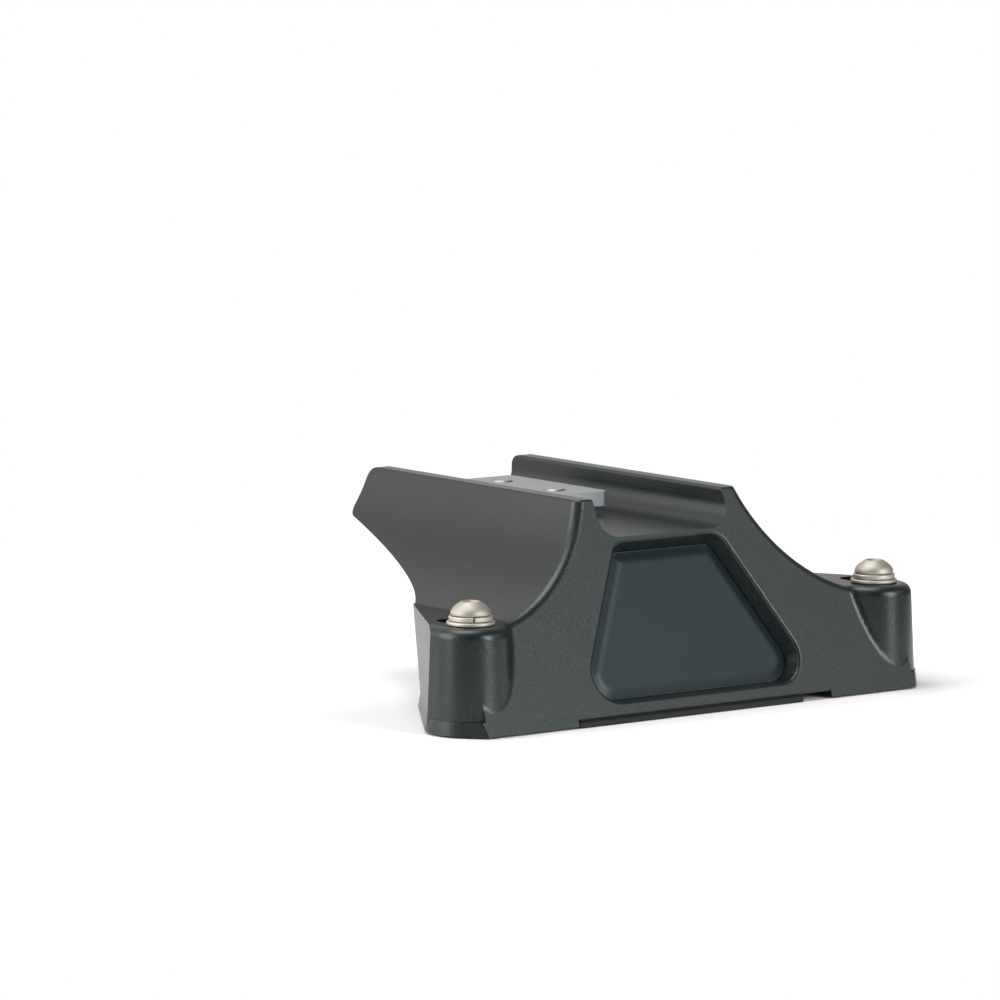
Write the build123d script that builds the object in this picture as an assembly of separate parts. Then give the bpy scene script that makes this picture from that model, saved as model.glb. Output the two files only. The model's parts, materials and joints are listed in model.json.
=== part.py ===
from build123d import *
import os
from math import asin, atan2, cos, hypot, radians, sin, tan

# Roof bar foot. Millimetres. +X runs along the roof's screw line, +Y along the saddle towards the middle
# of the roof, +Z up. The origin is midway between the two roof screws, on the underside of the pad.

# Roof screws and the slots in the ears
screw_spacing = 134.5
thread_diameter = 6.0
slot_clearance = 0.8
slot_travel = 9.2

# Base: ears, ends and rear
front_setback = 13.5
front_corner_reach = 3.65
ear_height = 27.8
boss_radius = 10.0
boss_draft = 2.6
boss_round = 2.8
boss_valley_round = 2.6
end_flat_length = 3.7
rear_half_top = 57.4
rear_half_foot = 55.0
rear_setback_top = 39.4
rear_setback_foot = 39.0
plinth_height = 4.2
plinth_flare = 0.65
plinth_ledge = 0.15
plinth_corner_round = 0.6

# Leaning front face, with the recess for the label
front_lean = 21.6
crease_round = 2.6
recess_foot = 5.6
recess_height = 42.6
recess_foot_half = 39.5
recess_top_half = 17.4
recess_foot_round = 8.0
recess_top_round = 5.0
recess_depth = 4.6
recess_wall_slope = 22.0
recess_edge_round = 1.0
label_thickness = 1.1
label_gap = 0.25
label_dome_width = 2.6
label_dome_drop = 0.75
label_dome_round = 6.0

# Saddle, and the concave flanks below it
bar_width = 42.0
bar_clearance = 0.5
bar_wall = 2.4
saddle_floor = 46.0
saddle_depth = 10.0
saddle_corner = 6.0
lip_thickness = 5.1
lip_round = 0.8
flank_radius = 45.6
flank_foot_half = 56.5
flank_foot_blend = 4.0
flank_toe = 0.1

# Arm that carries the saddle on behind the base
arm_reach = 102.8
arm_root_height = 27.7
arm_rise = 14.1
arm_end_round = 3.0

# Cores in the underside
core_wall = 4.0
core_rib = 3.0
core_columns = 4
core_rows = 2
core_top = 20.0
core_half_width = 32.0
core_front = 3.0
core_round = 1.5
core_draft = 1.0

# Pad under the base
pad_thickness = 2.0
pad_proud = 0.5
pad_length = 74.0
pad_notch_half = 42.1
pad_side_gap = 0.3
pad_rear_margin = 4.0
pad_corner = 4.0
pad_relief = 0.4
pad_relief_depth = 1.2

# Fasteners
flat_washer_diameter = 12.5
flat_washer_thickness = 1.1
spring_washer_diameter = 11.4
spring_washer_thickness = 1.4
spring_washer_split = 0.7
spring_washer_lead = 20.0
left_split_turn = -117.0
right_split_turn = 40.0
washer_clearance = 0.2
head_diameter = 10.5
head_height = 3.6
head_rim = 0.8
head_edge_round = 0.45
head_flat = 5.2
head_dome = 3.3
socket_flats = 4.0
socket_depth = 2.2
socket_pin_diameter = 1.8
socket_pin_drop = 0.5
roof_screw_length = 30.0
screw_point = 0.6
thread_clearance = 0.04

# Clamp in the floor of the saddle
clamp_first = 54.0
clamp_spacing = 24.0
clamp_floor = 5.6
clamp_hole_diameter = 6.6
clamp_pocket_diameter = 15.0
clamp_washer_diameter = 12.0
clamp_washer_thickness = 1.6
clamp_screw_length = 14.0
hex_flats = 10.0
hex_height = 4.0
nut_width = 21.0
nut_margin = 10.0
nut_thickness = 4.0
nut_corner = 1.5

# Worked out from the sizes above
screw_x = screw_spacing / 2
front_half = screw_x + front_corner_reach
screw_places = {"left": -screw_x, "right": screw_x}
clamp_places = {"front": clamp_first, "rear": clamp_first + clamp_spacing}
clamp_middle = clamp_first + clamp_spacing / 2
leg_foot = pad_proud
lip_top = saddle_floor + saddle_depth
saddle_half = bar_width / 2 + bar_clearance
lip_half = saddle_half + lip_thickness
boss_foot_radius = boss_radius + (ear_height - leg_foot) * tan(radians(boss_draft))
clamp_seat = saddle_floor - clamp_floor
nut_foot = saddle_floor + bar_wall
front_plane = Plane(
    origin=(0, -front_setback, 0),
    x_dir=(1, 0, 0),
    z_dir=(0, -cos(radians(front_lean)), sin(radians(front_lean))),
)


def both_sides(half):
    """A sketch of the right half and its mirror image, as one."""
    return half + mirror(half, about=Plane.YZ)


def base_outline(boss, rear_half, rear_setback):
    """Plan of the base at one height: two round bosses, short end flats, oblique corners, straight rear."""
    end = screw_x + boss
    edges = [
        Line((0, 0), (screw_x - boss, 0)),
        ThreePointArc((screw_x - boss, 0), (screw_x, -boss), (end, 0)),
        Line((end, 0), (end, end_flat_length)),
        Line((end, end_flat_length), (rear_half, rear_setback)),
        Line((rear_half, rear_setback), (0, rear_setback)),
        Line((0, rear_setback), (0, 0)),
    ]
    return both_sides(make_face(edges))


def front_block(half, height):
    """Leaning front from the foot up to one height, cut square at both ends."""
    lean = tan(radians(front_lean))
    points = [
        (-front_setback + leg_foot * lean, leg_foot),
        (-front_setback + height * lean, height),
        (core_wall, height),
        (core_wall, leg_foot),
    ]
    return extrude(Plane.YZ * make_face(Polyline(points, close=True)), half, both=True)


def front_face(body):
    """The face of a body that lies on the leaning front."""
    return body.faces().sort_by(lambda f: abs(front_plane.to_local_coords(f.center()).Z))[0]


def make_base():
    """Drafted ears on the leaning front: the valleys between them rounded, then the rim of the top."""
    foot = Pos(0, 0, leg_foot) * base_outline(boss_foot_radius, rear_half_foot, rear_setback_foot)
    top = Pos(0, 0, ear_height) * base_outline(boss_radius, rear_half_top, rear_setback_top)
    base = loft([foot, top], ruled=True) + front_block(front_half, ear_height)
    valleys = front_face(base).edges().filter_by(GeomType.LINE, reverse=True)
    base = fillet(valleys, boss_valley_round)
    rim = base.faces().sort_by(Axis.Z)[-1].edges()
    return fillet(rim.filter_by(GeomType.CIRCLE), boss_round)


def plinth_outline(step):
    """Plan of the plinth, which stands out from the base by one step and has sharp front corners."""
    radius = boss_foot_radius + step
    rear = rear_setback_foot + step
    rear_half = rear_half_foot + step
    half = front_half - plinth_flare + step
    front_edge = Line((-half, -front_setback), (half, -front_setback))
    rear_edge = Line((-rear_half, rear), (rear_half, rear))
    bosses = [CenterArc((x, 0), radius, 0, 360) for x in screw_places.values()]
    return make_hull([front_edge, rear_edge, *bosses])


def make_plinth():
    """Flared skirt round the foot of the base."""
    foot = Pos(0, 0, leg_foot) * plinth_outline(plinth_flare)
    top = Pos(0, 0, plinth_height) * plinth_outline(plinth_ledge)
    plinth = split(loft([foot, top], ruled=True), bisect_by=front_plane, keep=Keep.BOTTOM)
    corners = front_face(plinth).edges().filter_by(Axis.X, reverse=True)
    return fillet(corners, plinth_corner_round)


def flank_section():
    """Section across the arm: concave flanks that run out onto the ears, and the saddle on top."""
    rise = lip_top - ear_height
    run = flank_foot_half - lip_half
    foot_angle = atan2(rise, run) - asin(hypot(rise, run) / 2 / flank_radius)
    toe = flank_foot_half + flank_foot_blend * tan(foot_angle / 2) + flank_toe
    low = ear_height - core_wall
    edges = [
        Line((0, low), (toe, low)),
        Line((toe, low), (toe, ear_height)),
        Line((toe, ear_height), (flank_foot_half, ear_height)),
        RadiusArc((flank_foot_half, ear_height), (lip_half, lip_top), flank_radius),
        Line((lip_half, lip_top), (0, lip_top)),
        Line((0, lip_top), (0, low)),
    ]
    section = both_sides(make_face(edges))
    ear_corners = section.vertices().group_by(Axis.Y)[1].sort_by(Axis.X)
    section = fillet(ear_corners[1:-1], flank_foot_blend)
    saddle = RectangleRounded(2 * saddle_half, 2 * saddle_depth, saddle_corner)
    return section - Pos(0, lip_top) * saddle


def side_profile():
    """Side view behind the front: level lips, upright arm end and the underside that rises to it."""
    slope = tan(radians(arm_rise))
    inner = rear_setback_foot - core_wall
    points = [
        (-front_setback, leg_foot),
        (-front_setback, lip_top),
        (arm_reach, lip_top),
        (arm_reach, arm_root_height + slope * (arm_reach - rear_setback_top)),
        (inner, arm_root_height + slope * (inner - rear_setback_top)),
        (inner, leg_foot),
    ]
    profile = make_face(Polyline(points, close=True))
    return fillet(profile.vertices().group_by(Axis.X)[-1], arm_end_round)


def make_saddle_body():
    """Flanks, saddle and arm: the section across the arm, its edges rounded, then cut to the side view."""
    length = front_setback + arm_reach + arm_end_round
    across = extrude(Plane.XZ.offset(front_setback) * flank_section(), -length)
    body = split(across, bisect_by=front_plane, keep=Keep.BOTTOM)
    above_ears = front_face(body).edges().filter_by(lambda e: e.center().Z > ear_height - lip_round)
    crease = above_ears.filter_by(lambda e: abs(e.center().X) > lip_half)
    body = fillet(crease, crease_round)
    lips = body.faces().filter_by(Axis.Z).group_by(Axis.Z)[-1]
    rims = [edge for face in lips for edge in face.edges() if edge.center().Y < arm_reach]
    body = fillet(rims, lip_round)
    return body & extrude(Plane.YZ * side_profile(), screw_x, both=True)


def recess_outline():
    """Rounded trapezoid of the label recess, on the front face."""
    recess_top = recess_foot + recess_height
    edges = [
        Line((0, recess_foot), (recess_foot_half, recess_foot)),
        Line((recess_foot_half, recess_foot), (recess_top_half, recess_top)),
        Line((recess_top_half, recess_top), (0, recess_top)),
        Line((0, recess_top), (0, recess_foot)),
    ]
    outline = both_sides(make_face(edges))
    outline = fillet(outline.vertices().group_by(Axis.Y)[0], recess_foot_round)
    return fillet(outline.vertices().group_by(Axis.Y)[-1], recess_top_round)


def make_recess():
    """The space that the label recess leaves, with its sloping walls."""
    return extrude(front_plane * recess_outline(), -recess_depth, taper=recess_wall_slope)


def outermost_face(body):
    """The face of a body that lies furthest out from the leaning front."""
    return body.faces().sort_by(lambda f: front_plane.to_local_coords(f.center()).Z)[-1]


def make_label():
    """Blank label that lies on the floor of the recess, domed down towards its rim."""
    inset = recess_depth * tan(radians(recess_wall_slope)) + label_gap
    outline = offset(recess_outline(), -inset)
    label = extrude(front_plane.offset(-recess_depth) * outline, label_thickness)
    crown = outermost_face(label)
    label = chamfer(crown.edges(), label_dome_width, label_dome_drop, reference=crown)
    return fillet(outermost_face(label).edges(), label_dome_round)


def make_slots():
    """Slots through the ears, which let the screws stand where the roof needs them."""
    width = thread_diameter + slot_clearance
    slot = Rot(0, 0, 90) * SlotCenterToCenter(slot_travel, width)
    return [Pos(x, slot_travel / 2, 0) * extrude(slot, ear_height) for x in screw_places.values()]


def make_clamp_holes():
    """Holes for the clamp screws through the saddle floor, with round pockets for the heads below."""
    hole = Cylinder(clamp_hole_diameter / 2, saddle_floor, align=(Align.CENTER, Align.CENTER, Align.MIN))
    pocket = Cylinder(clamp_pocket_diameter / 2, clamp_seat, align=(Align.CENTER, Align.CENTER, Align.MIN))
    return [Pos(0, y, 0) * (hole + pocket) for y in clamp_places.values()]


def pad_plan(left, right, rear):
    """Plan of the pad or of its seat: straight at the front edge of the foot, rounded at the rear."""
    front = -front_setback + pad_side_gap
    outline = Pos((left + right) / 2, (front + rear) / 2) * Rectangle(right - left, rear - front)
    return fillet(outline.vertices().group_by(Axis.Y)[-1], pad_corner)


def make_pad():
    """Thin pad between the foot and the roof, pushed to the left end of its seat."""
    left = -pad_notch_half + pad_side_gap
    return extrude(pad_plan(left, left + pad_length, rear_setback_foot - pad_rear_margin), pad_thickness)


def make_pad_seat():
    """The space for the pad, open at the front of the foot, with a dark line left above the pad there."""
    rear = rear_setback_foot - pad_rear_margin + pad_side_gap
    seat = extrude(pad_plan(-pad_notch_half, pad_notch_half, rear), pad_thickness)
    line = Pos(0, -front_setback) * Rectangle(2 * pad_notch_half, 2 * pad_relief_depth)
    return seat + extrude(line, pad_thickness + pad_relief)


def make_cores():
    """Moulding cores in the underside, in rows between ribs."""
    front = core_front
    rear = rear_setback_foot - pad_rear_margin - core_wall
    width = (2 * core_half_width - (core_columns - 1) * core_rib) / core_columns
    depth = (rear - front - (core_rows - 1) * core_rib) / core_rows
    core = extrude(RectangleRounded(width, depth, core_round), core_top - pad_thickness, taper=core_draft)
    places = GridLocations(width + core_rib, depth + core_rib, core_columns, core_rows)
    return [Pos(0, (front + rear) / 2, pad_thickness) * place * core for place in places]


def make_leg():
    """The moulded body, with its recess, slots, clamp holes, cores and pad seat."""
    leg = make_base() + make_saddle_body() + make_plinth() - make_recess()
    lip = front_face(leg).inner_wires()[0].edges()
    leg = fillet(lip, recess_edge_round)
    leg = leg - make_pad_seat() - make_slots() - make_clamp_holes()
    return leg - make_cores()


def ring(outer_diameter, height):
    """Plain washer that clears the thread."""
    hole = thread_diameter / 2 + washer_clearance
    return extrude(Circle(outer_diameter / 2) - Circle(hole), height)


def make_spring_washer(split_turn):
    """Split washer, pressed flat, its ends cut at a slant."""
    washer = ring(spring_washer_diameter, spring_washer_thickness)
    reach = spring_washer_diameter
    cut = Rot(spring_washer_lead, 0, 0) * Box(reach, spring_washer_split, 2 * spring_washer_thickness)
    return washer - Rot(0, 0, split_turn) * Pos(reach / 2, 0, spring_washer_thickness / 2) * cut


def shank(length):
    """Plain shank as thick as the thread, pointed a little at its end, hanging below the head."""
    radius = thread_diameter / 2
    body = Pos(0, 0, -length) * extrude(Circle(radius), length)
    return chamfer(body.edges().group_by(Axis.Z)[0], screw_point)


def make_roof_screw():
    """Button-head screw with a hex socket and a pin in it, its head's underside at the origin."""
    radius = head_diameter / 2
    flat = head_flat / 2
    edges = [
        Line((0, 0), (radius, 0)),
        Line((radius, 0), (radius, head_rim)),
        RadiusArc((radius, head_rim), (flat, head_height), -head_dome),
        Line((flat, head_height), (0, head_height)),
        Line((0, head_height), (0, 0)),
    ]
    section = make_face(edges)
    section = fillet(section.vertices().group_by(Axis.Y)[0].sort_by(Axis.X)[-1], head_edge_round)
    head = revolve(Plane.XZ * section, Axis.Z)
    socket = RegularPolygon(socket_flats / 2, 6, major_radius=False) - Circle(socket_pin_diameter / 2)
    head -= Pos(0, 0, head_height) * extrude(socket, -socket_depth)
    head -= Pos(0, 0, head_height) * extrude(Circle(socket_pin_diameter / 2), -socket_pin_drop)
    return head + shank(roof_screw_length)


def make_clamp_screw():
    """Hex screw with its head down, the seat of its head at the origin."""
    head = extrude(RegularPolygon(hex_flats / 2, 6, major_radius=False), hex_height)
    return Rot(180, 0, 0) * (head + shank(clamp_screw_length))


def make_channel_nut():
    """Nut plate for both clamp screws."""
    plate = Pos(0, clamp_middle) * RectangleRounded(nut_width, clamp_spacing + 2 * nut_margin, nut_corner)
    hole = Circle(thread_diameter / 2 + thread_clearance)
    plate -= [Pos(0, y) * hole for y in clamp_places.values()]
    return Pos(0, 0, nut_foot) * extrude(plate, nut_thickness)


def make_parts():
    """Every piece in its place, by name."""
    parts = {"leg": make_leg(), "base_pad": make_pad(), "front_label": make_label()}
    spring_foot = ear_height + flat_washer_thickness
    head_foot = spring_foot + spring_washer_thickness
    turns = {"left": left_split_turn, "right": right_split_turn}
    flat_washer = ring(flat_washer_diameter, flat_washer_thickness)
    for side, x in screw_places.items():
        parts[side + "_flat_washer"] = Pos(x, 0, ear_height) * flat_washer
        parts[side + "_spring_washer"] = Pos(x, 0, spring_foot) * make_spring_washer(turns[side])
        parts[side + "_roof_screw"] = Pos(x, 0, head_foot) * make_roof_screw()
    washer_foot = clamp_seat - clamp_washer_thickness
    clamp_washer = ring(clamp_washer_diameter, clamp_washer_thickness)
    for end, y in clamp_places.items():
        parts[end + "_clamp_washer"] = Pos(0, y, washer_foot) * clamp_washer
        parts[end + "_clamp_screw"] = Pos(0, y, washer_foot) * make_clamp_screw()
    parts["channel_nut"] = make_channel_nut()
    return parts


os.makedirs("parts", exist_ok=True)
for name, solid in make_parts().items():
    export_step(solid, f"parts/{name}.step")
    print(name, len(solid.solids()), "solid", round(solid.volume / 1000, 2), "cm3")
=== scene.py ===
# %% [markdown]
# # A roof bar foot
# The foot is one black moulding with a blank label on its leaning front, two stainless screws with
# their washers in the ears, a thin pad below and the hidden clamp in its saddle. The solids arrive as
# a fixed frame in metres: +X along the screws, +Y along the saddle, +Z up. This lesson gives them
# their finishes, cuts real threads on the screws, softens the washers and sets up a small white
# studio.

# %% Load the frame
import bpy
import bmesh
import json
from math import atan2, pi, radians
from mathutils import Matrix, Vector


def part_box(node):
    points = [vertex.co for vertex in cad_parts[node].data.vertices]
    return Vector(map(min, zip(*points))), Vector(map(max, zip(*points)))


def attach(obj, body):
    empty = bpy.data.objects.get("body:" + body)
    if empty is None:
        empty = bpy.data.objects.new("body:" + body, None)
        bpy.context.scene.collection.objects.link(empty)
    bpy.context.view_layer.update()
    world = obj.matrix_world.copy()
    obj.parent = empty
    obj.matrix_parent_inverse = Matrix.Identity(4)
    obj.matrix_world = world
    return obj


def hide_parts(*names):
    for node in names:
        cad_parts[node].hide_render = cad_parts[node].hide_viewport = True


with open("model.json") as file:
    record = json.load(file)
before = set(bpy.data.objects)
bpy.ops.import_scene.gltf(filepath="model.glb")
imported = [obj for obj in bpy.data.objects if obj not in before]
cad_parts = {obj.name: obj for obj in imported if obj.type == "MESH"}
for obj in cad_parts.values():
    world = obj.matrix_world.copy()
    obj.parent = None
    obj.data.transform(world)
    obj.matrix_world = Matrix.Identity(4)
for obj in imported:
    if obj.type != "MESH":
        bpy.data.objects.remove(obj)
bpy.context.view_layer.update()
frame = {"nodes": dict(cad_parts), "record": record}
nodes = frame["nodes"]

# %% [markdown]
# ## The camera
# The photograph was taken from far off with a long lens, a little above the ears and towards the
# left end of the foot. A camera could be aimed by a constraint on an empty, but an eye and a
# direction say the same and leave nothing else in the scene. The quaternion turns the camera's own
# -Z that way and keeps it level.

# %% Camera
EYE = Vector((-0.94516, -1.2099, 0.24697))
LOOK = Vector((0.58679, 0.80018, -0.12408))
LENS_MM = 211.9
SENSOR_MM = 36.0
VIEW_LIMIT = 50.0


def make_camera(eye, look, lens_mm):
    """A level camera at one place, looking one way."""
    data = bpy.data.cameras.new("studio_camera")
    data.lens = lens_mm
    data.sensor_width = SENSOR_MM
    data.clip_end = VIEW_LIMIT
    camera = bpy.data.objects.new("studio_camera", data)
    camera.location = eye
    camera.rotation_euler = look.to_track_quat("-Z", "Y").to_euler()
    bpy.context.collection.objects.link(camera)
    bpy.context.scene.camera = camera
    return camera


camera = make_camera(EYE, LOOK, LENS_MM)
print("camera:", camera.data.lens, "mm at", [round(v, 3) for v in camera.location])

# %% [markdown]
# ## Small helpers for node trees
# Every finish below is a tree of nodes. It could be wired by hand in the Shader Editor, but a script
# builds the same tree on every run. Short helpers keep the trees readable: one adds a node with its
# values, one joins two sockets, one mixes two colours, one spreads a value over a range of roughness,
# one starts a material, and one feeds its Principled shader.

# %% Node helpers


def add(tree, kind, x, y, props=None, **inputs):
    """Adds a node, sets its properties, and sets the inputs given by name."""
    node = tree.nodes.new(kind)
    node.location = (x, y)
    for key, value in (props or {}).items():
        setattr(node, key, value)
    for key, value in inputs.items():
        node.inputs[key.replace("_", " ")].default_value = value
    return node


def join(tree, source, target):
    """Joins an output socket to an input socket."""
    tree.links.new(source, target)


def blend(tree, x, y, **colours):
    """Adds a mix of two colours, A and B. What isn't given here is joined later."""
    return add(tree, "ShaderNodeMix", x, y, {"data_type": "RGBA"}, **colours)


def rough_between(tree, limits):
    """Adds a node that spreads a value from 0 to 1 over a range of roughness."""
    return add(tree, "ShaderNodeMapRange", -350, 0, To_Min=limits[0], To_Max=limits[1])


def start_material(name):
    """A material with only its Principled shader and its output."""
    material = bpy.data.materials.new(name)
    material.use_nodes = True
    tree = material.node_tree
    shader = tree.nodes["Principled BSDF"]
    return material, tree, shader


def feed(tree, shader, colour, rough, bump):
    """Joins a colour, a roughness and a bump to the shader."""
    join(tree, colour.outputs["Result"], shader.inputs["Base Color"])
    join(tree, rough.outputs["Result"], shader.inputs["Roughness"])
    join(tree, bump.outputs["Normal"], shader.inputs["Normal"])


print("helpers: add, join, blend, rough_between, start_material, feed")

# %% [markdown]
# ## Grain, a group that several finishes share
# A moulding tool is etched, so the plastic carries a fine leathery grain. Tiny glints are painted into
# its colour as light specks, a painted highlight for the sparkle of that grain. The rubber pad has a
# coarser grain, and the clear coat of the label only slow waves. A picture could be wrapped round the
# foot for this, but it has seams and a fixed sharpness, and noise has neither. One node group with a
# scale serves all three: it puts out a height for the bump, a mask of glints, and a slow mottle that
# keeps large faces from looking flat.

# %% Grain group
PIT_NOISE = {"Detail": 3.0, "Roughness": 0.6}
MOTTLE_NOISE = {"Scale": 55.0, "Detail": 4.0, "Roughness": 0.6}
GLINT_EDGE = 0.42
GLINT_CORE = 0.10
GLINT_RARITY = 7.0


def make_grain_group():
    """Height, glints (a mask for painted highlights) and mottle of a moulded surface, from Object
    coordinates.
    """
    group = bpy.data.node_groups.new("mould_grain", "ShaderNodeTree")
    group.interface.new_socket("Scale", in_out="INPUT", socket_type="NodeSocketFloat")
    for name in ("Height", "Glint", "Mottle"):
        group.interface.new_socket(name, in_out="OUTPUT", socket_type="NodeSocketFloat")
    source = add(group, "NodeGroupInput", -900, 0)
    result = add(group, "NodeGroupOutput", 500, 0)
    place = add(group, "ShaderNodeTexCoord", -900, -200)
    pits = add(group, "ShaderNodeTexNoise", -600, 200, **PIT_NOISE)
    cells = add(group, "ShaderNodeTexVoronoi", -600, -100)
    mottle = add(group, "ShaderNodeTexNoise", -600, -400, **MOTTLE_NOISE)
    for node in (pits, cells, mottle):
        join(group, place.outputs["Object"], node.inputs["Vector"])
    for node in (pits, cells):
        join(group, source.outputs["Scale"], node.inputs["Scale"])
    speck = add(group, "ShaderNodeMapRange", -300, -100, From_Min=GLINT_EDGE, From_Max=GLINT_CORE)
    chance = add(group, "ShaderNodeSeparateColor", -300, -300)
    rare = add(group, "ShaderNodeMath", -100, -300, {"operation": "POWER"})
    rare.inputs[1].default_value = GLINT_RARITY
    glint = add(group, "ShaderNodeMath", 150, -150, {"operation": "MULTIPLY"})
    join(group, cells.outputs["Distance"], speck.inputs["Value"])
    join(group, cells.outputs["Color"], chance.inputs["Color"])
    join(group, chance.outputs["Red"], rare.inputs[0])
    join(group, speck.outputs["Result"], glint.inputs[0])
    join(group, rare.outputs["Value"], glint.inputs[1])
    join(group, pits.outputs["Fac"], result.inputs["Height"])
    join(group, glint.outputs["Value"], result.inputs["Glint"])
    join(group, mottle.outputs["Fac"], result.inputs["Mottle"])
    return group


grain_group = make_grain_group()
print("group:", grain_group.name, [s.name for s in grain_group.interface.items_tree])

# %% [markdown]
# ## Black moulded plastic
# The leg is charcoal with a cold cast. Its shine is broad and soft, so most of what is seen on it is
# the reflection of the studio. One colour and one roughness would look like smooth paint, so painted
# glints lighten the colour in specks as painted highlights, and the mottle makes the polish uneven.

# %% Black plastic
PLASTIC = (0.0072, 0.0108, 0.0116, 1.0)
# Painted highlight: the colour of the glints painted into the plastic as light specks.
PAINTED_GLINT_COLOUR = (0.060, 0.074, 0.076, 1.0)
PLASTIC_ROUGHNESS = (0.26, 0.36)
PLASTIC_GRAIN = {"scale": 2000.0, "strength": 0.28, "distance": 0.0002}
COLD_SHINE = (0.90, 1.0, 1.0, 1.0)


def place_grain(tree, scale, strength, distance):
    """Puts the grain group into a material, with a bump node for its height."""
    grain = add(tree, "ShaderNodeGroup", -700, -200, {"node_tree": grain_group}, Scale=scale)
    bump = add(tree, "ShaderNodeBump", -250, -400, Strength=strength, Distance=distance)
    join(tree, grain.outputs["Height"], bump.inputs["Height"])
    return grain, bump


def make_plastic():
    """Etched black moulding, with painted glints in its colour."""
    material, tree, shader = start_material("black_moulding")
    shader.inputs["Specular Tint"].default_value = COLD_SHINE
    grain, bump = place_grain(tree, **PLASTIC_GRAIN)
    # Painted glints lighten the colour in specks, standing in for sparkle.
    base = blend(tree, -350, 200, A=PLASTIC, B=PAINTED_GLINT_COLOUR)
    rough = rough_between(tree, PLASTIC_ROUGHNESS)
    join(tree, grain.outputs["Glint"], base.inputs["Factor"])
    join(tree, grain.outputs["Mottle"], rough.inputs["Value"])
    feed(tree, shader, base, rough, bump)
    return material


plastic = make_plastic()
print("material:", plastic.name)

# %% [markdown]
# ## Rubber pad
# The pad is dull and lacks the shine of the leg, so it looks darker. Its upper edge, along the seam
# under the leg, gets painted shade: a dark line where the leg shades it. That line could be a thin
# piece of its own, but it has no thickness worth modelling. The material reads the height in Object
# coordinates instead, and paints shade on what lies just below the top of the pad.

# %% Rubber
RUBBER = (0.016, 0.018, 0.018, 1.0)
RUBBER_DUST = (0.027, 0.029, 0.028, 1.0)
RUBBER_SHINE = 0.22
RUBBER_ROUGHNESS = (0.72, 0.88)
RUBBER_GRAIN = {"scale": 900.0, "strength": 0.3, "distance": 0.0003}
# Painted shade: the colour of the dark band under the leg, along the pad's upper edge.
PAINTED_PAD_SHADE = (0.003, 0.0035, 0.0035, 1.0)
SEAM_WIDTH = 0.0007
SEAM_BLUR = 0.0002


def make_rubber():
    """Dull pad with a dusty mottle and painted shade along its upper edge."""
    material, tree, shader = start_material("pad_rubber")
    shader.inputs["Specular IOR Level"].default_value = RUBBER_SHINE
    grain, bump = place_grain(tree, **RUBBER_GRAIN)
    base = blend(tree, -350, 200, A=RUBBER, B=RUBBER_DUST)
    rough = rough_between(tree, RUBBER_ROUGHNESS)
    place = add(tree, "ShaderNodeTexCoord", -900, 500)
    height = add(tree, "ShaderNodeSeparateXYZ", -700, 500)
    # Painted shade: a band just below the top of the pad is darkened where the leg shades it.
    seam_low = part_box("base_pad")[1][2] - SEAM_WIDTH
    edge = add(tree, "ShaderNodeMapRange", -500, 500, From_Min=seam_low, From_Max=seam_low + SEAM_BLUR)
    with_shade = blend(tree, -150, 350, B=PAINTED_PAD_SHADE)
    join(tree, grain.outputs["Mottle"], base.inputs["Factor"])
    join(tree, grain.outputs["Glint"], rough.inputs["Value"])
    join(tree, place.outputs["Object"], height.inputs["Vector"])
    join(tree, height.outputs["Z"], edge.inputs["Value"])
    join(tree, edge.outputs["Result"], with_shade.inputs["Factor"])
    join(tree, base.outputs["Result"], with_shade.inputs["A"])
    feed(tree, shader, with_shade, rough, bump)
    return material


rubber = make_rubber()
print("material:", rubber.name)

# %% [markdown]
# ## Blank label
# The label is a blank domed sticker: dark, cold and a little glossy, with the faint waviness of a
# poured clear coat. The coat could be a second layer of the shader, but its shine is soft enough for
# one layer to do. The dome is in the solid, so the finish only adds a slow wave and an uneven polish.

# %% Label
LABEL = (0.0095, 0.0200, 0.0216, 1.0)
LABEL_DEEP = (0.0075, 0.0160, 0.0176, 1.0)
LABEL_SHINE = 0.30
LABEL_ROUGHNESS = (0.32, 0.40)
LABEL_WAVES = {"scale": 90.0, "strength": 0.04, "distance": 0.0004}


def make_label():
    """Blank label under a poured clear coat."""
    material, tree, shader = start_material("blank_label")
    shader.inputs["Specular Tint"].default_value = COLD_SHINE
    shader.inputs["Specular IOR Level"].default_value = LABEL_SHINE
    grain, bump = place_grain(tree, **LABEL_WAVES)
    base = blend(tree, -350, 200, A=LABEL, B=LABEL_DEEP)
    rough = rough_between(tree, LABEL_ROUGHNESS)
    join(tree, grain.outputs["Mottle"], base.inputs["Factor"])
    join(tree, grain.outputs["Mottle"], rough.inputs["Value"])
    feed(tree, shader, base, rough, bump)
    return material


label = make_label()
print("material:", label.name)

# %% [markdown]
# ## Bright steel
# The roof screws and washers are stainless, warm in tone, with faint marks of the turning tool, and the
# washers are a shade brighter. The hidden clamp is zinc-plated and colder. All come from one maker with
# different values. The seams between stacked pieces get painted brownish shade. It could be painted on
# by hand, but an Ambient Occlusion node with a very short reach finds those seams by itself and browns
# them.

# %% Steel
STAINLESS = (0.48, 0.460, 0.410, 1.0)
STAINLESS_WORN = (0.39, 0.374, 0.326, 1.0)
WASHER = (0.56, 0.537, 0.472, 1.0)
WASHER_WORN = (0.45, 0.432, 0.374, 1.0)
STAINLESS_ROUGHNESS = (0.50, 0.64)
ZINC = (0.40, 0.42, 0.44, 1.0)
ZINC_CLOUD = (0.31, 0.33, 0.36, 1.0)
ZINC_ROUGHNESS = (0.42, 0.58)
TOOL_MARK_SCALE = (150.0, 150.0, 9000.0)
TOOL_MARK_BUMP = {"Strength": 0.12, "Distance": 0.0001}
CLOUD_SCALE = 420.0
# Painted shade: the brownish dark colour put into the seams between stacked pieces.
PAINTED_SEAM_SHADE = (0.075, 0.062, 0.036, 1.0)
SEAM_SHADE_REACH = 0.0005
SEAM_SHADE_SAMPLES = 8
SEAM_SHADE_FULL = 0.2
SEAM_SHADE_NONE = 0.6


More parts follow.
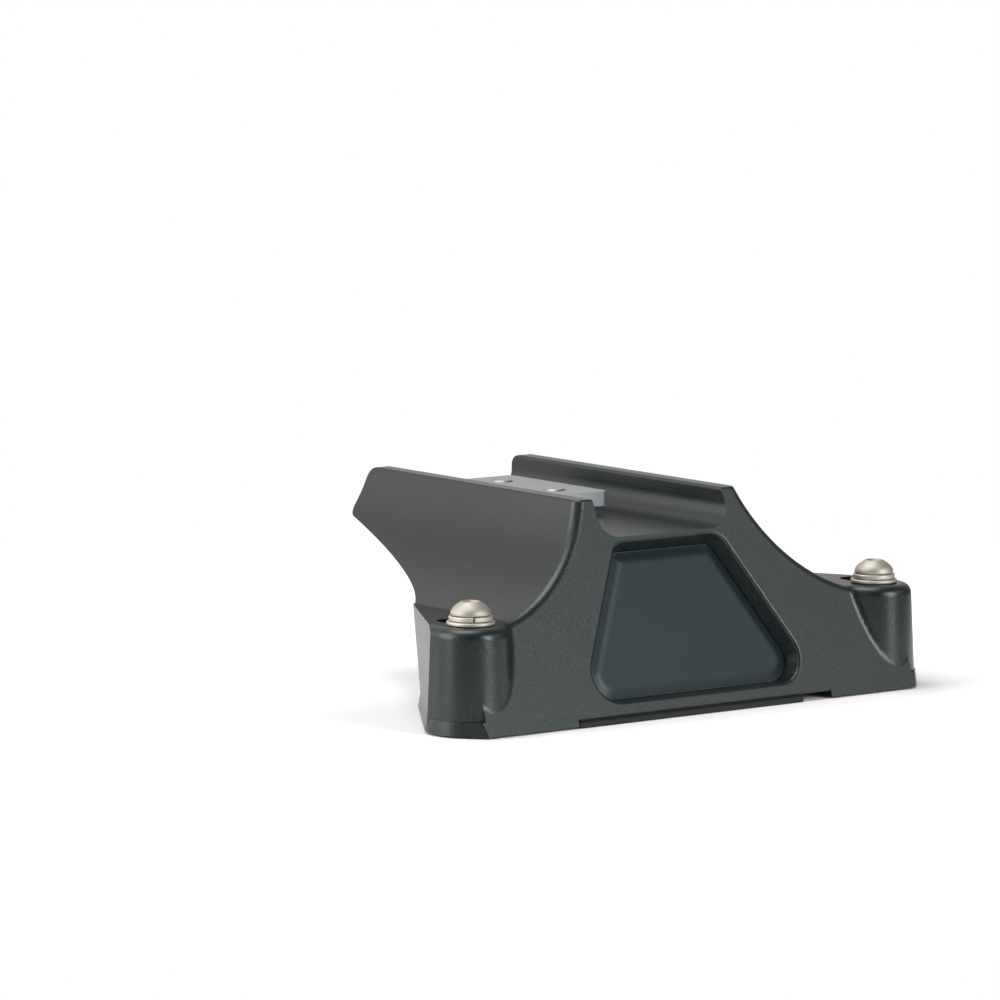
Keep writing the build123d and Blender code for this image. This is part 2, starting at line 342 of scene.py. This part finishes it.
def make_steel(name, bright, dull, roughness):
    """Metal with cloudy colour, uneven polish, fine level tool marks and painted shade in its seams."""
    material, tree, shader = start_material(name)
    shader.inputs["Metallic"].default_value = 1.0
    place = add(tree, "ShaderNodeTexCoord", -1000, 0)
    squash = add(tree, "ShaderNodeMapping", -820, 0, Scale=TOOL_MARK_SCALE)
    marks = add(tree, "ShaderNodeTexNoise", -620, -200, Scale=1.0, Detail=2.0)
    clouds = add(tree, "ShaderNodeTexNoise", -620, 150, Scale=CLOUD_SCALE, Detail=4.0)
    bump = add(tree, "ShaderNodeBump", -350, -250, **TOOL_MARK_BUMP)
    join(tree, place.outputs["Object"], squash.inputs["Vector"])
    join(tree, squash.outputs["Vector"], marks.inputs["Vector"])
    join(tree, place.outputs["Object"], clouds.inputs["Vector"])
    join(tree, marks.outputs["Fac"], bump.inputs["Height"])
    base = blend(tree, -350, 200, A=bright, B=dull)
    rough = rough_between(tree, roughness)
    join(tree, clouds.outputs["Fac"], base.inputs["Factor"])
    join(tree, clouds.outputs["Fac"], rough.inputs["Value"])
    # Painted shade: Ambient Occlusion darkens the colour in the seams between stacked pieces.
    open_air = add(tree, "ShaderNodeAmbientOcclusion", -620, 450, {"samples": SEAM_SHADE_SAMPLES},
                   Distance=SEAM_SHADE_REACH)
    seam = add(tree, "ShaderNodeMapRange", -350, 450, From_Min=SEAM_SHADE_FULL, From_Max=SEAM_SHADE_NONE)
    with_shade = blend(tree, -150, 250, A=PAINTED_SEAM_SHADE)
    join(tree, open_air.outputs["AO"], seam.inputs["Value"])
    join(tree, seam.outputs["Result"], with_shade.inputs["Factor"])
    join(tree, base.outputs["Result"], with_shade.inputs["B"])
    feed(tree, shader, with_shade, rough, bump)
    return material


stainless = make_steel("stainless_steel", STAINLESS, STAINLESS_WORN, STAINLESS_ROUGHNESS)
washer_steel = make_steel("washer_steel", WASHER, WASHER_WORN, STAINLESS_ROUGHNESS)
zinc = make_steel("zinc_plate", ZINC, ZINC_CLOUD, ZINC_ROUGHNESS)
print("materials:", stainless.name, washer_steel.name, zinc.name)

# %% [markdown]
# ## Dressing the solids
# A solid whose shape is right keeps its mesh and only takes a finish. Finishes could be picked piece
# by piece, but the record gives each node a slot, so one table from slots to finishes dresses all.

# %% Dress
FINISHES = {
    "leg_plastic": plastic,
    "pad_rubber": rubber,
    "label_gloss": label,
    "stainless": stainless,
    "zinc_steel": zinc,
}
slot_of = {part["node"]: part["material_slot"] for part in frame["record"]["subparts"]}


def dress(name, node):
    """Gives a node the finish of its slot."""
    node.data.materials.clear()
    node.data.materials.append(FINISHES[slot_of[name]])


for name, node in nodes.items():
    dress(name, node)
print("dressed:", {name: slot_of[name] for name in nodes})

# %% [markdown]
# ## Stand-ins for screws and washers
# The screws and washers get finer shapes than their solids have. A solid's mesh is loose triangles,
# which a cut or a bevel can't follow, and the solid itself stays as it is. So each of these pieces is
# a copy with its corners merged. The copy is reshaped, rides on the root body, takes the solid's place
# and takes a finish.

# %% Stand-in helpers
MERGE_DISTANCE = 1e-6


def axis_of(name):
    """The upright axis through the middle of a round piece, as its point at height zero."""
    low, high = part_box(name)
    return Vector(((low[0] + high[0]) / 2, (low[1] + high[1]) / 2, 0.0))


def merged_copy(name):
    """A bmesh of a solid, its loose triangles merged."""
    builder = bmesh.new()
    builder.from_mesh(nodes[name].data)
    bmesh.ops.remove_doubles(builder, verts=builder.verts[:], dist=MERGE_DISTANCE)
    return builder


def stand_in(name, ending, builder, sharp_angle, finish):
    """Puts a finished bmesh in the place of a node, shaded smooth up to one angle."""
    mesh = bpy.data.meshes.new(name + ending)
    builder.to_mesh(mesh)
    builder.free()
    mesh.polygons.foreach_set("use_smooth", [True] * len(mesh.polygons))
    mesh.set_sharp_from_angle(angle=sharp_angle)
    mesh.materials.append(finish)
    piece = bpy.data.objects.new(name + ending, mesh)
    bpy.context.collection.objects.link(piece)
    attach(piece, "root")
    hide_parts(name)
    return piece


print("helpers: axis_of, merged_copy, stand_in")

# %% [markdown]
# ## Thread
# The solids carry plain shanks. A thread could be a pattern in the bump, but then the outline of the
# screw would stay straight, so it is real geometry here. A thread is a ridge that climbs one pitch in
# each turn: the profile of a single pitch is spun about the axis with a small lift at every step, and
# the turns are merged. Both ends are then cut square and closed, and the tip is chamfered.

# %% Threaded rod
THREAD_RADIUS = 0.0030
THREAD_PITCH = 0.0010
THREAD_DEPTH = 0.00055
THREAD_STEPS = 36
THREAD_MERGE = THREAD_PITCH / 200
CREST_END = 0.125
ROOT_START = 0.5
ROOT_END = 0.7
SPARE_TURNS = 2
TIP_CHAMFER = 0.0006
CUT_TOLERANCE = 1e-7


def trim(builder, height, keep_above):
    """Cuts a bmesh level at one height, throws one side away and closes the cut."""
    geometry = builder.verts[:] + builder.edges[:] + builder.faces[:]
    cut = bmesh.ops.bisect_plane(builder, geom=geometry, dist=CUT_TOLERANCE, plane_co=(0, 0, height),
                                 plane_no=(0, 0, 1), clear_inner=keep_above, clear_outer=not keep_above)
    rim = [item for item in cut["geom_cut"] if isinstance(item, bmesh.types.BMEdge)]
    bmesh.ops.edgeloop_fill(builder, edges=rim)


def thread_between(low, high, tip_at_low):
    """A threaded rod on the Z axis between two heights, chamfered at its tip."""
    rod = bmesh.new()
    root = THREAD_RADIUS - THREAD_DEPTH
    profile = ((THREAD_RADIUS, 0.0), (THREAD_RADIUS, CREST_END), (root, ROOT_START), (root, ROOT_END),
               (THREAD_RADIUS, 1.0))
    start = low - SPARE_TURNS * THREAD_PITCH
    points = [rod.verts.new((radius, 0.0, start + part * THREAD_PITCH)) for radius, part in profile]
    edges = [rod.edges.new(pair) for pair in zip(points, points[1:])]
    turns = int((high - low) / THREAD_PITCH) + 2 * SPARE_TURNS
    bmesh.ops.spin(rod, geom=points + edges, axis=(0, 0, 1), cent=(0, 0, 0), angle=2 * pi * turns,
                   dvec=(0, 0, THREAD_PITCH / THREAD_STEPS), steps=THREAD_STEPS * turns)
    bmesh.ops.remove_doubles(rod, verts=rod.verts[:], dist=THREAD_MERGE)
    trim(rod, low, True)
    trim(rod, high, False)
    tip = low if tip_at_low else high
    for vert in rod.verts:
        reach = vert.co.xy.length
        limit = THREAD_RADIUS - TIP_CHAMFER + abs(vert.co.z - tip)
        if reach > limit:
            vert.co.xy *= limit / reach
    return rod


print("thread:", THREAD_PITCH, "m a turn in", THREAD_STEPS, "steps")

# %% [markdown]
# ## Screws
# The head of a screw is cut off its solid where the shank begins, so the new screw sits exactly where
# the old one did. A roof screw has a button head, which swells from its rim to a small flat round the
# socket. A lattice could press it into shape, but each point only has to move along its own radius:
# the crown is drawn in to a parabola, which leaves a crisp edge at the flat.

# %% Threaded screws
CROWN_START = 0.00045
CROWN_FLAT = 0.00245
CUT_MARGIN = 0.00002
HEAD_SHARE = 1.2
SCREW_SHARP_ANGLE = radians(28)
ROOF_SCREWS = ("left_roof_screw", "right_roof_screw")
CLAMP_SCREWS = ("front_clamp_screw", "rear_clamp_screw")


def draw_in_crown(head, middle, seat):
    """Moves the side of a button head inwards, to a parabola from its rim to the flat on top."""
    top = max(v.co.z for v in head.verts)
    rim = max((v.co - middle).xy.length for v in head.verts)
    foot = seat + CROWN_START
    for vert in head.verts:
        arm = (vert.co - middle).xy
        if vert.co.z > foot and arm.length > CROWN_FLAT:
            share = (vert.co.z - foot) / (top - foot)
            reach = CROWN_FLAT + (rim - CROWN_FLAT) * (1.0 - share * share)
            vert.co.xy = middle.xy + arm * (reach / arm.length)


def cut_thread(name, head_on_top):
    """Replaces a screw's plain shank with a thread, and keeps its head."""
    low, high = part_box(name)
    middle = axis_of(name)
    head = merged_copy(name)
    wide = [v.co.z for v in head.verts if (v.co - middle).xy.length > HEAD_SHARE * THREAD_RADIUS]
    if head_on_top:
        seat = min(wide)
        trim(head, seat - CUT_MARGIN, True)
        draw_in_crown(head, middle, seat)
        rod = thread_between(low[2], seat, True)
    else:
        seat = max(wide)
        trim(head, seat + CUT_MARGIN, False)
        rod = thread_between(seat, high[2], False)
    bmesh.ops.translate(rod, verts=rod.verts[:], vec=middle)
    for part in (head, rod):
        bmesh.ops.recalc_face_normals(part, faces=part.faces[:])
    shank = bpy.data.meshes.new("shank")
    rod.to_mesh(shank)
    rod.free()
    head.from_mesh(shank)
    bpy.data.meshes.remove(shank)
    return stand_in(name, "_threaded", head, SCREW_SHARP_ANGLE, FINISHES[slot_of[name]])


screws = [cut_thread(name, True) for name in ROOF_SCREWS]
screws += [cut_thread(name, False) for name in CLAMP_SCREWS]
print("threads:", {screw.name: len(screw.data.polygons) for screw in screws})

# %% [markdown]
# ## Spring washers pressed shut
# A tightened spring washer is pressed nearly shut. It could be cut from a ring once more, but its
# points only need a small turn about the axis: more towards the split, which narrows it, and more with
# height, which sets it upright. The split is found by its two end faces, the only ones that look along
# the ring.

# %% Spring washers
SPLIT_NARROWING = 0.00035
SPLIT_LEAN = 0.50
END_FACE_LIMIT = 0.8


def press_shut(builder, middle, outer):
    """Narrows the split of a spring washer and sets it upright, by turning points about the axis."""
    arms = [face.calc_center_median() - middle for face in builder.faces]
    along = [face.normal.xy.cross(arm.xy.normalized()) for face, arm in zip(builder.faces, arms)]
    ends = [arm.xy for arm, share in zip(arms, along) if abs(share) > END_FACE_LIMIT]
    back = -sum(ends, Vector((0.0, 0.0)))
    half_height = sum(v.co.z for v in builder.verts) / len(builder.verts)
    for vert in builder.verts:
        arm = (vert.co - middle).xy
        angle = atan2(back.cross(arm), back.dot(arm))
        shift = SPLIT_NARROWING / 2 * angle / pi + SPLIT_LEAN * (vert.co.z - half_height)
        vert.co.xy = middle.xy + Matrix.Rotation(shift / outer, 2) @ arm


print("split:", SPLIT_NARROWING, "m narrower")

# %% [markdown]
# ## Soft rims on the washers
# Punched and wound washers have softened outer rims, and stacked rims draw fine dark lines between
# the washers. A Bevel modifier would also round the bore and the split. So the rims are picked as the
# level outer edges where two faces meet at a steep angle, and only they are bevelled.

# %% Washer rims
RIM_WIDTH = 0.00038
RIM_SHARE = 0.985
RIM_ANGLE = radians(60)
RIM_SEGMENTS = 3
LEVEL_LIMIT = 1e-6
WASHER_SHARP_ANGLE = radians(32)
WASHERS = ("left_flat_washer", "left_spring_washer", "right_flat_washer", "right_spring_washer")


def soften_rims(name):
    """Replaces a washer with a merged copy whose two outer rims are bevelled."""
    low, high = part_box(name)
    middle = axis_of(name)
    reach = RIM_SHARE * (high[0] - low[0]) / 2
    builder = merged_copy(name)
    builder.normal_update()
    if name.endswith("spring_washer"):
        press_shut(builder, middle, reach)
    outer = [edge for edge in builder.edges if all((v.co - middle).xy.length > reach for v in edge.verts)]
    steep = [edge for edge in outer if edge.calc_face_angle(0.0) > RIM_ANGLE]
    rims = [edge for edge in steep if abs(edge.verts[0].co.z - edge.verts[1].co.z) < LEVEL_LIMIT]
    bmesh.ops.bevel(builder, geom=rims, offset=RIM_WIDTH, offset_type="OFFSET", affect="EDGES",
                    segments=RIM_SEGMENTS, profile=0.5, material=-1)
    return stand_in(name, "_soft", builder, WASHER_SHARP_ANGLE, washer_steel)


washers = [soften_rims(name) for name in WASHERS]
print("washers:", {washer.name: len(washer.data.polygons) for washer in washers})

# %% [markdown]
# ## Studio floor
# The foot stands on a pale floor in a white room. A floor that ran to the horizon would turn grey far
# off, so it fades out in a ring around the foot and lets the white of the room show through. A small
# glow lifts the lit floor to white. Only the camera and rays off shiny or through clear surfaces see
# it, so it puts no light on the foot's dull faces. The glow grows with the distance from the base, and
# the ground under the foot keeps its shadow.

# %% Floor masks
SHADOW_REACH = 0.045
leg_low, leg_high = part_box("leg")
pad_low, pad_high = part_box("base_pad")
BASE_MIDDLE = ((leg_low[0] + leg_high[0]) / 2, (pad_low[1] + pad_high[1]) / 2, 0.0)
BASE_HALF = ((leg_high[0] - leg_low[0]) / 2, (pad_high[1] - pad_low[1]) / 2, 0.0)


def ray_masks(tree, x, y):
    """Two masks: rays straight from the camera, and rays off a shiny surface or through a clear one."""
    path = add(tree, "ShaderNodeLightPath", x, y)
    mirrored = add(tree, "ShaderNodeMath", x + 200, y, {"operation": "MAXIMUM"})
    join(tree, path.outputs["Is Glossy Ray"], mirrored.inputs[0])
    join(tree, path.outputs["Is Transmission Ray"], mirrored.inputs[1])
    return path.outputs["Is Camera Ray"], mirrored.outputs["Value"]


def away_from_base(tree, place, x, y):
    """Zero on the floor under the base, growing to one at the reach of its shadow."""
    shift = add(tree, "ShaderNodeVectorMath", x, y, {"operation": "SUBTRACT"})
    shift.inputs[1].default_value = BASE_MIDDLE
    fold = add(tree, "ShaderNodeVectorMath", x + 180, y, {"operation": "ABSOLUTE"})
    beyond = add(tree, "ShaderNodeVectorMath", x + 360, y, {"operation": "SUBTRACT"})
    beyond.inputs[1].default_value = BASE_HALF
    outside = add(tree, "ShaderNodeVectorMath", x + 540, y, {"operation": "MAXIMUM"})
    gap = add(tree, "ShaderNodeVectorMath", x + 720, y, {"operation": "LENGTH"})
    grow = add(tree, "ShaderNodeMapRange", x + 900, y, {"interpolation_type": "SMOOTHSTEP"},
               From_Max=SHADOW_REACH)
    join(tree, place.outputs["Object"], shift.inputs[0])
    for source, target in ((shift, fold), (fold, beyond), (beyond, outside), (outside, gap)):
        join(tree, source.outputs["Vector"], target.inputs[0])
    join(tree, gap.outputs["Value"], grow.inputs["Value"])
    return grow.outputs["Result"]


print("base:", [round(v, 4) for v in BASE_MIDDLE], "half", [round(v, 4) for v in BASE_HALF])

# %% Floor
FLOOR_RADIUS = 0.9
FLOOR_SIDES = 96
FLOOR_GREY = (0.88, 0.88, 0.88, 1.0)
FLOOR_ROUGHNESS = 0.95
FLOOR_FADE = (0.13, 0.36)
FLOOR_GLOW = 0.26
WHITE = (1.0, 1.0, 1.0, 1.0)


def make_floor_material():
    """Pale and dull, lifted to white away from the foot, and clear beyond the ring where it fades."""
    material, tree, shader = start_material("pale_floor")
    shader.inputs["Base Color"].default_value = FLOOR_GREY
    shader.inputs["Roughness"].default_value = FLOOR_ROUGHNESS
    shader.inputs["Specular IOR Level"].default_value = 0.0
    shader.inputs["Emission Color"].default_value = WHITE
    place = add(tree, "ShaderNodeTexCoord", -900, -200)
    reach = add(tree, "ShaderNodeVectorMath", -700, -200, {"operation": "LENGTH"})
    fade = add(tree, "ShaderNodeMapRange", -500, -200, {"interpolation_type": "SMOOTHSTEP"},
               From_Min=FLOOR_FADE[0], From_Max=FLOOR_FADE[1], To_Min=1.0, To_Max=0.0)
    join(tree, place.outputs["Object"], reach.inputs["Vector"])
    join(tree, reach.outputs["Value"], fade.inputs["Value"])
    join(tree, fade.outputs["Result"], shader.inputs["Alpha"])
    camera_ray, mirror_ray = ray_masks(tree, -900, -500)
    seen = add(tree, "ShaderNodeMath", -500, -500, {"operation": "MAXIMUM"})
    open_floor = add(tree, "ShaderNodeMath", -400, -400, {"operation": "MULTIPLY"})
    glow = add(tree, "ShaderNodeMath", -250, -400, {"operation": "MULTIPLY"})
    glow.inputs[1].default_value = FLOOR_GLOW
    join(tree, camera_ray, seen.inputs[0])
    join(tree, mirror_ray, seen.inputs[1])
    join(tree, seen.outputs["Value"], open_floor.inputs[0])
    join(tree, away_from_base(tree, place, -1500, -800), open_floor.inputs[1])
    join(tree, open_floor.outputs["Value"], glow.inputs[0])
    join(tree, glow.outputs["Value"], shader.inputs["Emission Strength"])
    return material


def make_floor():
    """Pale disc that takes the shadow near the foot and fades into the white room."""
    mesh = bpy.data.meshes.new("studio_floor")
    builder = bmesh.new()
    bmesh.ops.create_circle(builder, cap_ends=True, segments=FLOOR_SIDES, radius=FLOOR_RADIUS)
    builder.to_mesh(mesh)
    builder.free()
    mesh.materials.append(make_floor_material())
    floor = bpy.data.objects.new("studio_floor", mesh)
    bpy.context.collection.objects.link(floor)
    return floor


floor = make_floor()
print("floor:", floor.name, FLOOR_RADIUS, "m")

# %% [markdown]
# ## White room
# The room is white to the camera. As a reflection it is white behind the foot and dim behind the
# camera, as in a studio with white paper at the back, and as light it is a faint even glow. A picture
# of a real room could do all this, but three plain strengths are easier to steer, and Light Path tells
# which of them a ray takes.

# %% World
PAPER_SIDE = (-0.36, 0.90, 0.25)
PAPER_EDGE = (-0.35, 0.75)
PAPER_GLOW = (0.09, 0.80)
WARM_PAPER = (1.0, 0.955, 0.915, 1.0)
ROOM_LIGHT = 0.33


def make_world():
    """White to the camera, white paper behind the foot in reflections, a soft glow as light."""
    world = bpy.data.worlds.new("white_room")
    world.use_nodes = True
    bpy.context.scene.world = world
    tree = world.node_tree
    shader = tree.nodes["Background"]
    place = add(tree, "ShaderNodeTexCoord", -1300, -200)
    side = add(tree, "ShaderNodeVectorMath", -1100, -200, {"operation": "DOT_PRODUCT"})
    side.inputs[1].default_value = PAPER_SIDE
    paper = add(tree, "ShaderNodeMapRange", -900, -200, {"interpolation_type": "SMOOTHSTEP"},
                From_Min=PAPER_EDGE[0], From_Max=PAPER_EDGE[1], To_Min=PAPER_GLOW[0], To_Max=PAPER_GLOW[1])
    join(tree, place.outputs["Generated"], side.inputs[0])
    join(tree, side.outputs["Value"], paper.inputs["Value"])
    camera_ray, mirror_ray = ray_masks(tree, -1100, 300)
    glow = add(tree, "ShaderNodeMix", -650, 0, {"data_type": "FLOAT"}, A=ROOM_LIGHT)
    seen = add(tree, "ShaderNodeMix", -400, 100, {"data_type": "FLOAT"}, B=1.0)
    tint = blend(tree, -400, 350, A=WARM_PAPER, B=WHITE)
    join(tree, mirror_ray, glow.inputs["Factor"])
    join(tree, paper.outputs["Result"], glow.inputs["B"])
    join(tree, camera_ray, seen.inputs["Factor"])
    join(tree, camera_ray, tint.inputs["Factor"])
    join(tree, glow.outputs["Result"], seen.inputs["A"])
    join(tree, tint.outputs["Result"], shader.inputs["Color"])
    join(tree, seen.outputs["Result"], shader.inputs["Strength"])
    return world


world = make_world()
print("world:", world.name)

# %% [markdown]
# ## Lights
# Spots and suns would leave small hard highlights on the plastic, so every lamp is a soft box. A large
# box at the left and a weak panel behind it light the flank and the left end. A tall box to the right
# of the camera draws the light lines along the rounded edges of the front: the crease, the valleys
# beside the ears and the lip of the recess. One weak fill evens out the front from left to right,
# another lights the near end of the left ear, and a box overhead lights the floor and the tops.

# %% Lights
MIDDLE = Vector((0.0, 0.03, 0.03))
WHITE_LAMP = (1.0, 1.0, 1.0)
WARM_LAMP = (1.0, 0.96, 0.95)


def soft_box(name, tint, place, width, height, watts):
    """A rectangular area lamp that faces the foot."""
    data = bpy.data.lights.new(name, "AREA")
    data.color = tint
    data.shape = "RECTANGLE"
    data.size = width
    data.size_y = height
    data.energy = watts
    lamp = bpy.data.objects.new(name, data)
    lamp.location = place
    lamp.rotation_euler = (MIDDLE - Vector(place)).to_track_quat("-Z", "Y").to_euler()
    bpy.context.collection.objects.link(lamp)
    return lamp


lamps = [
    soft_box("left_box", WARM_LAMP, place=(-1.5, 0.7, 0.8), width=1.3, height=1.3, watts=22.0),
    soft_box("back_box", WARM_LAMP, place=(-1.15, 1.75, 0.60), width=1.6, height=1.2, watts=2.0),
    soft_box("key_box", WHITE_LAMP, place=(0.86, -2.65, 0.98), width=1.0, height=1.9, watts=60.0),
    soft_box("front_fill", WHITE_LAMP, place=(1.15, -0.85, 0.65), width=0.6, height=0.6, watts=1.4),
    soft_box("end_fill", WARM_LAMP, place=(-1.55, 0.22, 0.30), width=0.6, height=0.9, watts=3.0),
    soft_box("top_box", WHITE_LAMP, place=(-0.2, 0.3, 1.6), width=1.0, height=1.0, watts=15.0),
]
print("lamps:", [lamp.name for lamp in lamps])

# %% [markdown]
# ## Colour
# The Standard view shows each colour as it is written, where a film-like one would grey the white room.

# %% Finish
bpy.context.scene.view_settings.view_transform = "Standard"
